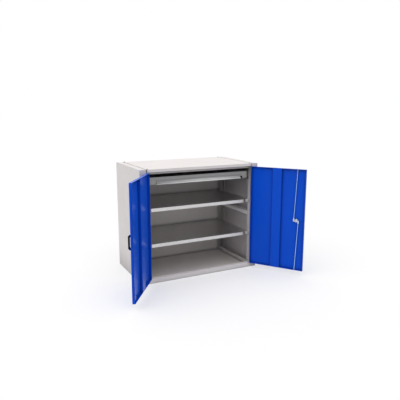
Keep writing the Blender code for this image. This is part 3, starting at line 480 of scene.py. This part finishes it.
def moulded_plastic(name, colour, roughness):
    """Black moulded plastic with a fine spark-eroded grain, rubbed paler along its edges."""
    n = Nodes(name)
    grain = n.noise(MOULD_GRAIN)
    cloud = n.ramp(n.noise(MOULD_CLOUD), NOISE_BAND)
    tone = n.tones(cloud, colour, MOULD_CLOUD_SHADES)
    normal, edge = n.soft_edge(MOULD_EDGE)
    rubbed = n.combine("MULTIPLY", edge, cloud)
    n.drive("Base Color", n.mix(rubbed, tone, shade(colour, MOULD_EDGE_SHADE)))
    n.gloss(grain, NOISE_BAND, roughness, MOULD_GLOSS_SPREAD)
    n.bump(grain, MOULD_GRAIN_STRENGTH, MOULD_GRAIN_DEPTH, normal)
    n.set("Specular IOR Level", MOULD_SPECULAR)
    return n.material


def polished_metal(name, colour, roughness):
    """Chrome plate with faint handling marks."""
    n = Nodes(name)
    marks = n.noise(CHROME_MARKS)
    n.drive("Base Color", n.tones(n.ramp(marks, CHROME_MARKS_BAND), colour, CHROME_SHADES))
    n.gloss(marks, CHROME_GLOSS_BAND, roughness, CHROME_GLOSS_SPREAD)
    normal, _ = n.soft_edge(CHROME_EDGE)
    n.drive("Normal", normal)
    n.set("Metallic", 1.0)
    return n.material


def make_materials():
    """Every finish, by the name of its slot or the name that OWN_FINISHES gives it."""
    return {
        # Each paint darkens in hollows as painted shade
        "grey_paint": powder_coat(
            "body_grey", BODY_GREY, roughness=0.45, specular=0.25, worn=1.10, painted_corner_shade=(0.22, 0.66)
        ),
        "inner_grey_paint": powder_coat(
            "inner_grey", INNER_GREY, roughness=0.48, specular=0.20, worn=1.08, painted_corner_shade=(0.03, 0.45)
        ),
        # The sill: a lighter copy of the body grey, as painted light
        "sill_painted_light": powder_coat(
            "sill_painted_light", SILL_PAINTED_LIGHT, roughness=0.45, specular=0.25, worn=1.10, painted_corner_shade=(0.03, 0.72)
        ),
        # The drawer rails: a dark copy of the grey paint, as painted shade
        "rail_painted_shade": powder_coat(
            "rail_painted_shade", RAIL_PAINTED_SHADE, roughness=0.50, specular=0.15, worn=1.40, painted_corner_shade=(0.02, 0.70)
        ),
        # The side rails: near-white, as painted light on their upper faces
        "rail_painted_light": powder_coat(
            "rail_painted_light", RAIL_PAINTED_LIGHT, roughness=0.48, specular=0.20, worn=1.05, painted_corner_shade=(0.02, 0.95)
        ),
        "blue_paint": glossy_blue(),
        "drawer_grey_paint": powder_coat(
            "drawer_grey", DRAWER_GREY, roughness=0.42, specular=0.20, worn=1.20, painted_corner_shade=(0.02, 0.70)
        ),
        "zinc_steel": zinc_plate("zinc", ZINC, roughness=0.34),
        "bright_zinc": zinc_plate("bright_zinc", BRIGHT_ZINC, roughness=0.18),
        "rod_zinc": zinc_plate("rod_zinc", ROD_ZINC, roughness=0.18),
        "dark_steel": zinc_plate("dark_screw", DARK_STEEL, roughness=0.40),
        # The grip, with a painted highlight along its lower part
        "bright_aluminium": brushed_metal(
            "satin_aluminium", ALUMINIUM, GRIP_PAINTED_HIGHLIGHT, roughness=0.36
        ),
        "black_plastic": moulded_plastic("black_moulding", BLACK, roughness=0.48),
        "chrome": polished_metal("chrome_plate", CHROME, roughness=0.08),
    }


def paint_nodes(frame, materials):
    """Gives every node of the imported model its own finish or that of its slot."""
    slots = {part["node"]: part["material_slot"] for part in frame["record"]["subparts"]}
    for name, node in frame["nodes"].items():
        node.data.materials.clear()
        node.data.materials.append(materials[OWN_FINISHES.get(name, slots[name])])


def soften(node):
    """Rounds the edges of a solid block."""
    edge = node.modifiers.new("soft_edge", "BEVEL")
    edge.width = BLOCK_EDGE
    edge.segments = BLOCK_EDGE_STEPS
    edge.limit_method = "ANGLE"
    edge.angle_limit = SOFT_ANGLE
    edge.harden_normals = True


def plain_mesh(name, bm):
    """A mesh with flat faces."""
    mesh = bpy.data.meshes.new(name)
    bm.to_mesh(mesh)
    bm.free()
    return mesh


def smooth_mesh(name, bm):
    """A mesh that is smooth but for its sharp edges."""
    mesh = plain_mesh(name, bm)
    mesh.shade_smooth()
    mesh.set_sharp_from_angle(angle=SOFT_ANGLE)
    return mesh


def link_mesh(name, mesh):
    """An object in the scene that holds a mesh."""
    thing = bpy.data.objects.new(name, mesh)
    bpy.context.scene.collection.objects.link(thing)
    return thing


def add_piece(name, mesh, where, material, body):
    """A new piece that moves with a body."""
    mesh.transform(where)
    mesh.materials.clear()
    mesh.materials.append(material)
    thing = link_mesh(name, mesh)
    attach(thing, body)
    return thing


def facing(place, turn):
    """Carries a piece from the origin to its place, after a turn."""
    return Matrix.Translation(place) @ turn.to_4x4()


def door_turn(side):
    """Carries a point on a shut door to where the open door has it."""
    hinge = Vector((side * HINGE_X, HINGE_Y, 0))
    swing = Matrix.Rotation(side * DOORS_OPEN, 4, "Z")
    return Matrix.Translation(hinge) @ swing @ Matrix.Translation(-hinge)


def arc(centre, across, up, start, end, steps):
    """Points on part of an ellipse whose half axes are across and up."""
    angles = [start + (end - start) * i / steps for i in range(steps + 1)]
    return [(centre[0] + across * math.cos(a), centre[1] + up * math.sin(a)) for a in angles]


def along_x(a, b, distance):
    """A point of an outline that is drawn in Y and Z."""
    return (distance, a, b)


def along_y(a, b, distance):
    """A point of an outline that is drawn in X and Z."""
    return (a, distance, b)


def extrude(name, outline, along, start, end):
    """A smooth solid: an outline of (a, b) points carried from start to end along an axis."""
    bm = bmesh.new()
    rings = [[bm.verts.new(along(a, b, distance)) for a, b in outline] for distance in (start, end)]
    bm.faces.new(rings[0])
    bm.faces.new(reversed(rings[1]))
    count = len(outline)
    for i in range(count):
        j = (i + 1) % count
        bm.faces.new((rings[0][j], rings[0][i], rings[1][i], rings[1][j]))
    bmesh.ops.recalc_face_normals(bm, faces=bm.faces)
    return smooth_mesh(name, bm)


def make_grip(materials):
    """The drawer grip with its smooth cove and a rolled lower edge."""
    back = GRIP_SEAT - GRIP_WALL
    reach = GRIP_DEEP - GRIP_WALL
    drop = GRIP_TALL - GRIP_LIP
    roll = GRIP_WALL / 2
    cove = (GRIP_OUTER, GRIP_TOP)
    edge = (GRIP_OUTER + roll, GRIP_BOTTOM + roll)
    under_start = math.acos(GRIP_WALL / GRIP_DEEP)
    under_end = math.acos(reach / GRIP_DEEP)
    face = arc(cove, reach, -drop, 0, QUARTER_TURN, GRIP_STEPS)
    foot = arc(edge, -roll, -roll, 0, math.pi, GRIP_STEPS)
    under = arc(cove, GRIP_DEEP, -drop - GRIP_WALL, under_start, under_end, GRIP_STEPS)
    leg = [(back, GRIP_BOTTOM), (GRIP_SEAT, GRIP_BOTTOM), (GRIP_SEAT, GRIP_TOP)]
    mesh = extrude("coved_grip", face + foot + under + leg, along_x, GRIP_START, GRIP_END)
    metal = materials["bright_aluminium"]
    grip = add_piece("coved_grip", mesh, HERE, metal, "drawer")
    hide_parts("drawer_grip")


def make_grip_end(materials):
    """The black piece that closes the right end of the grip, rounded at its upper front corner."""
    top = GRIP_BOTTOM + GRIP_CAP_TALL
    corner = (GRIP_OUTER + GRIP_CAP_ROUND, top - GRIP_CAP_ROUND)
    square = [(GRIP_SEAT, top), (GRIP_SEAT, GRIP_BOTTOM), (GRIP_OUTER, GRIP_BOTTOM)]
    rounded = arc(corner, -GRIP_CAP_ROUND, GRIP_CAP_ROUND, 0, QUARTER_TURN, GRIP_STEPS)
    mesh = extrude("rounded_grip_end", square + rounded, along_x, GRIP_CAP_START, GRIP_CAP_END)
    black = materials["black_plastic"]
    piece = add_piece("rounded_grip_end", mesh, HERE, black, "drawer")
    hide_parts("drawer_grip_cap")


def make_seam_shade_strips(materials):
    """A low crowned dark strip in the seam on each side of the top panel, as painted shade in the seam.
    """
    for label, side in SIDES.items():
        name = f"seam_shade_strip_{label}"
        middle = side * SEAM_X
        base = [(middle + end * SEAM_HALF_WIDE, SEAM_LOW) for end in (-1, 1)]
        crown = arc((middle, SEAM_EDGE), SEAM_HALF_WIDE, SEAM_CROWN, 0, math.pi, SEAM_STEPS)
        mesh = extrude(name, base + crown, along_y, -SEAM_HALF_LONG, SEAM_HALF_LONG)
        add_piece(name, mesh, HERE, materials["black_plastic"], "carcass")


def fastener_profile(head, shank, dome):
    """Half the outline of a screw or rivet: the shank below its seat at z = 0 and the head above it."""
    radius, height = head
    shank_radius, shank_long = shank
    below = [(shank_radius, -shank_long), (shank_radius, 0.0), (radius, 0.0)]
    return below + [(radius * across, height * up) for across, up in dome]


def add_round(bm, profile, where):
    """Adds a round solid: (radius, height) points turned about Z and carried by a matrix."""
    turns = [2 * math.pi * i / ROUND_SIDES for i in range(ROUND_SIDES)]
    rings = []
    for radius, height in profile:
        points = [Vector((radius * math.cos(a), radius * math.sin(a), height)) for a in turns]
        rings.append([bm.verts.new(where @ point) for point in points])
    bm.faces.new(reversed(rings[0]))
    bm.faces.new(rings[-1])
    for low, high in zip(rings, rings[1:]):
        for i in range(ROUND_SIDES):
            j = (i + 1) % ROUND_SIDES
            bm.faces.new((low[i], low[j], high[j], high[i]))


def cross_arm(head, turn):
    """The cutter for one arm of a cross recess, smaller at its foot."""
    radius, height = head
    bm = bmesh.new()
    bmesh.ops.create_cube(bm, size=2)
    for vert in bm.verts:
        above = vert.co.z > 0
        taper = 1.0 if above else CROSS_TAPER
        level = CROSS_CLEAR if above else 1 - CROSS_DEEP
        long = radius * CROSS_LONG * taper
        wide = radius * CROSS_WIDE * taper
        vert.co = Vector((vert.co.x * long, vert.co.y * wide, height * level))
    bmesh.ops.rotate(bm, verts=bm.verts, matrix=Matrix.Rotation(turn, 3, "Z"))
    return link_mesh("cross", plain_mesh("cross", bm))


def cut_cross(name, mesh, head):
    """Sinks a tapered cross into a screw head."""
    body = link_mesh(f"{name}_blank", mesh)
    cutters = [cross_arm(head, turn) for turn in (0, QUARTER_TURN)]
    for cutter in cutters:
        cut = body.modifiers.new("cross", "BOOLEAN")
        cut.operation = "DIFFERENCE"
        cut.solver = "EXACT"
        cut.object = cutter
    ready = body.evaluated_get(bpy.context.evaluated_depsgraph_get())
    result = bpy.data.meshes.new_from_object(ready)
    for thing in [body] + cutters:
        bpy.data.objects.remove(thing, do_unlink=True)
    return result


def screw_mesh(name, head, shank):
    """A domed head with a cross recess over a shank."""
    bm = bmesh.new()
    add_round(bm, fastener_profile(head, shank, SCREW_DOME), HERE)
    return cut_cross(name, smooth_mesh(name, bm), head)


def rivet_mesh(name, places, turn, head, shank):
    """Flat domed rivets at the given places, all facing the same way."""
    profile = fastener_profile(head, shank, RIVET_DOME)
    bm = bmesh.new()
    for place in places:
        add_round(bm, profile, facing(place, turn))
    return smooth_mesh(name, bm)


def make_top_screws(materials, label, side):
    """The dark screws at the corners of one side of the top panel."""
    dark = materials["dark_steel"]
    for where, end in ENDS.items():
        node = f"top_screw_{where}_{label}"
        name = f"cross_{node}"
        mesh = screw_mesh(name, TOP_SCREW_HEAD, TOP_SCREW_SHANK)
        seat = facing((side * TOP_SCREW_X, end * TOP_SCREW_Y, TOP + SEAT_GAP), UPWARDS)
        screw = add_piece(name, mesh, seat, dark, "carcass")
        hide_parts(node)


def make_handle_studs(materials, label, side):
    """The painted stud heads inside a door that hold its handle."""
    name = f"{label}_handle_studs"
    blue = materials["blue_paint"]
    heights = [HANDLE_HEIGHT + end * HANDLE_STUDS_APART / 2 for end in (-1, 1)]
    places = [(side * HANDLE_X, FRONT + DOOR_SHEET, height) for height in heights]
    mesh = rivet_mesh(name, places, BACKWARDS, HANDLE_STUD_HEAD, HANDLE_STUD_SHANK)
    add_piece(name, mesh, door_turn(side), blue, f"{label}_door")


def make_drawer_screws(materials):
    """The screws inside the tray that hold the drawer front."""
    zinc = materials["zinc_steel"]
    for i, x in enumerate(DRAWER_SCREW_XS):
        name = f"drawer_front_screw_{i + 1}"
        mesh = screw_mesh(name, DRAWER_SCREW_HEAD, DRAWER_SCREW_SHANK)
        seat = facing((x, FRONT + DRAWER_SCREW_DEEP, DRAWER_SCREW_HEIGHT), BACKWARDS)
        add_piece(name, mesh, seat, zinc, "drawer")


def make_cam_screw(materials):
    """The screw that holds the lock cam on its barrel."""
    bright = materials["bright_zinc"]
    mesh = screw_mesh("cross_cam_screw", CAM_SCREW_HEAD, CAM_SCREW_SHANK)
    seat = facing((LOCK_X, FRONT + CAM_SCREW_DEEP, LOCK_HEIGHT), BACKWARDS)
    where = door_turn(SIDES["right"]) @ seat
    screw = add_piece("cross_cam_screw", mesh, where, bright, "lock")
    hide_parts("lock_cam_screw")


def make_screws(materials):
    """All screws, and the studs of the handles."""
    for label, side in SIDES.items():
        make_top_screws(materials, label, side)
        make_handle_studs(materials, label, side)
    make_drawer_screws(materials)
    make_cam_screw(materials)


def make_rivets(materials):
    """Rivets along both leaves of each hinge, staggered so that the heads pass when the door is shut."""
    zinc = materials["zinc_steel"]
    depth = FRONT + RIVET_DEEP
    heights = [RIVET_LOW + i * RIVET_STEP for i in range(RIVETS)]
    for label, side in SIDES.items():
        inwards = Matrix.Rotation(-QUARTER_TURN * side, 3, "Y")
        outwards = Matrix.Rotation(QUARTER_TURN * side, 3, "Y")
        name = f"{label}_frame_leaf_rivets"
        places = [(side * FRAME_LEAF_FACE, depth, z) for z in heights]
        mesh = rivet_mesh(name, places, inwards, RIVET_HEAD, RIVET_SHANK)
        add_piece(name, mesh, HERE, zinc, "carcass")
        name = f"{label}_door_leaf_rivets"
        places = [(side * DOOR_LEAF_FACE, depth, z + RIVET_STAGGER) for z in heights]
        mesh = rivet_mesh(name, places, outwards, RIVET_HEAD, RIVET_SHANK)
        add_piece(name, mesh, door_turn(side), zinc, f"{label}_door")


def make_camera():
    """The camera that took the photograph, as fitted."""
    data = bpy.data.cameras.new("camera")
    data.sensor_width = CAMERA_SENSOR
    data.lens = CAMERA_LENS
    data.clip_end = CAMERA_FAR
    camera = bpy.data.objects.new("camera", data)
    camera.location = CAMERA_PLACE
    camera.rotation_mode = "QUATERNION"
    camera.rotation_quaternion = Vector(CAMERA_FORWARD).to_track_quat("-Z", "Y")
    bpy.context.scene.collection.objects.link(camera)
    bpy.context.scene.camera = camera


def seen_directly(tree):
    """1 for what the camera, a reflection or a clear surface sees, and 0 for light on other things."""
    paths = tree.nodes.new("ShaderNodeLightPath")
    value = paths.outputs["Is Camera Ray"]
    for name in ("Is Glossy Ray", "Is Transmission Ray"):
        either = tree.nodes.new("ShaderNodeMath")
        either.operation = "MAXIMUM"
        tree.links.new(value, either.inputs[0])
        tree.links.new(paths.outputs[name], either.inputs[1])
        value = either.outputs[0]
    return value


def make_world():
    """A plain dome of light, white where the camera or a reflection sees it."""
    world = bpy.data.worlds.new("studio")
    world.use_nodes = True
    tree = world.node_tree
    tree.nodes.clear()
    dome = tree.nodes.new("ShaderNodeBackground")
    dome.inputs["Color"].default_value = DOME_COLOUR
    dome.inputs["Strength"].default_value = DOME_STRENGTH
    white = tree.nodes.new("ShaderNodeBackground")
    white.inputs["Color"].default_value = WHITE
    mix = tree.nodes.new("ShaderNodeMixShader")
    tree.links.new(seen_directly(tree), mix.inputs["Fac"])
    tree.links.new(dome.outputs[0], mix.inputs[1])
    tree.links.new(white.outputs[0], mix.inputs[2])
    out = tree.nodes.new("ShaderNodeOutputWorld")
    tree.links.new(mix.outputs[0], out.inputs["Surface"])
    bpy.context.scene.world = world


def make_lights():
    """A wide, soft light from above."""
    data = bpy.data.lights.new("top_light", "SUN")
    data.energy = TOP_LIGHT_STRENGTH
    data.color = TOP_LIGHT_COLOUR
    data.angle = TOP_LIGHT_SPREAD
    light = bpy.data.objects.new("top_light", data)
    light.rotation_euler = TOP_LIGHT_TILT
    light.location.z = TOP_LIGHT_HEIGHT
    bpy.context.scene.collection.objects.link(light)


def make_floor():
    """A pale floor that keeps the shadow and reads as white where the light falls on it fully."""
    bm = bmesh.new()
    bmesh.ops.create_grid(bm, x_segments=1, y_segments=1, size=FLOOR_HALF)
    mesh = plain_mesh("studio_floor", bm)
    floor = link_mesh("studio_floor", mesh)
    floor.location.z = -FLOOR_BELOW
    n = Nodes("studio_floor")
    n.set("Base Color", FLOOR_COLOUR)
    n.set("Roughness", FLOOR_ROUGHNESS)
    n.set("Specular IOR Level", 0.0)
    n.set("Emission Color", WHITE)
    n.drive("Emission Strength", n.ramp(seen_directly(n.tree), (0.0, 1.0), high=FLOOR_GLOW))
    mesh.materials.append(n.material)


def main():
    for thing in list(bpy.data.objects):
        bpy.data.objects.remove(thing, do_unlink=True)
    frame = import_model()
    bpy.context.scene.view_settings.view_transform = "Standard"
    make_camera()
    make_world()
    make_lights()
    make_floor()
    materials = make_materials()
    paint_nodes(frame, materials)
    soften(frame["nodes"]["drawer_front"])
    make_grip(materials)
    make_grip_end(materials)
    make_seam_shade_strips(materials)
    make_screws(materials)
    make_rivets(materials)


main()
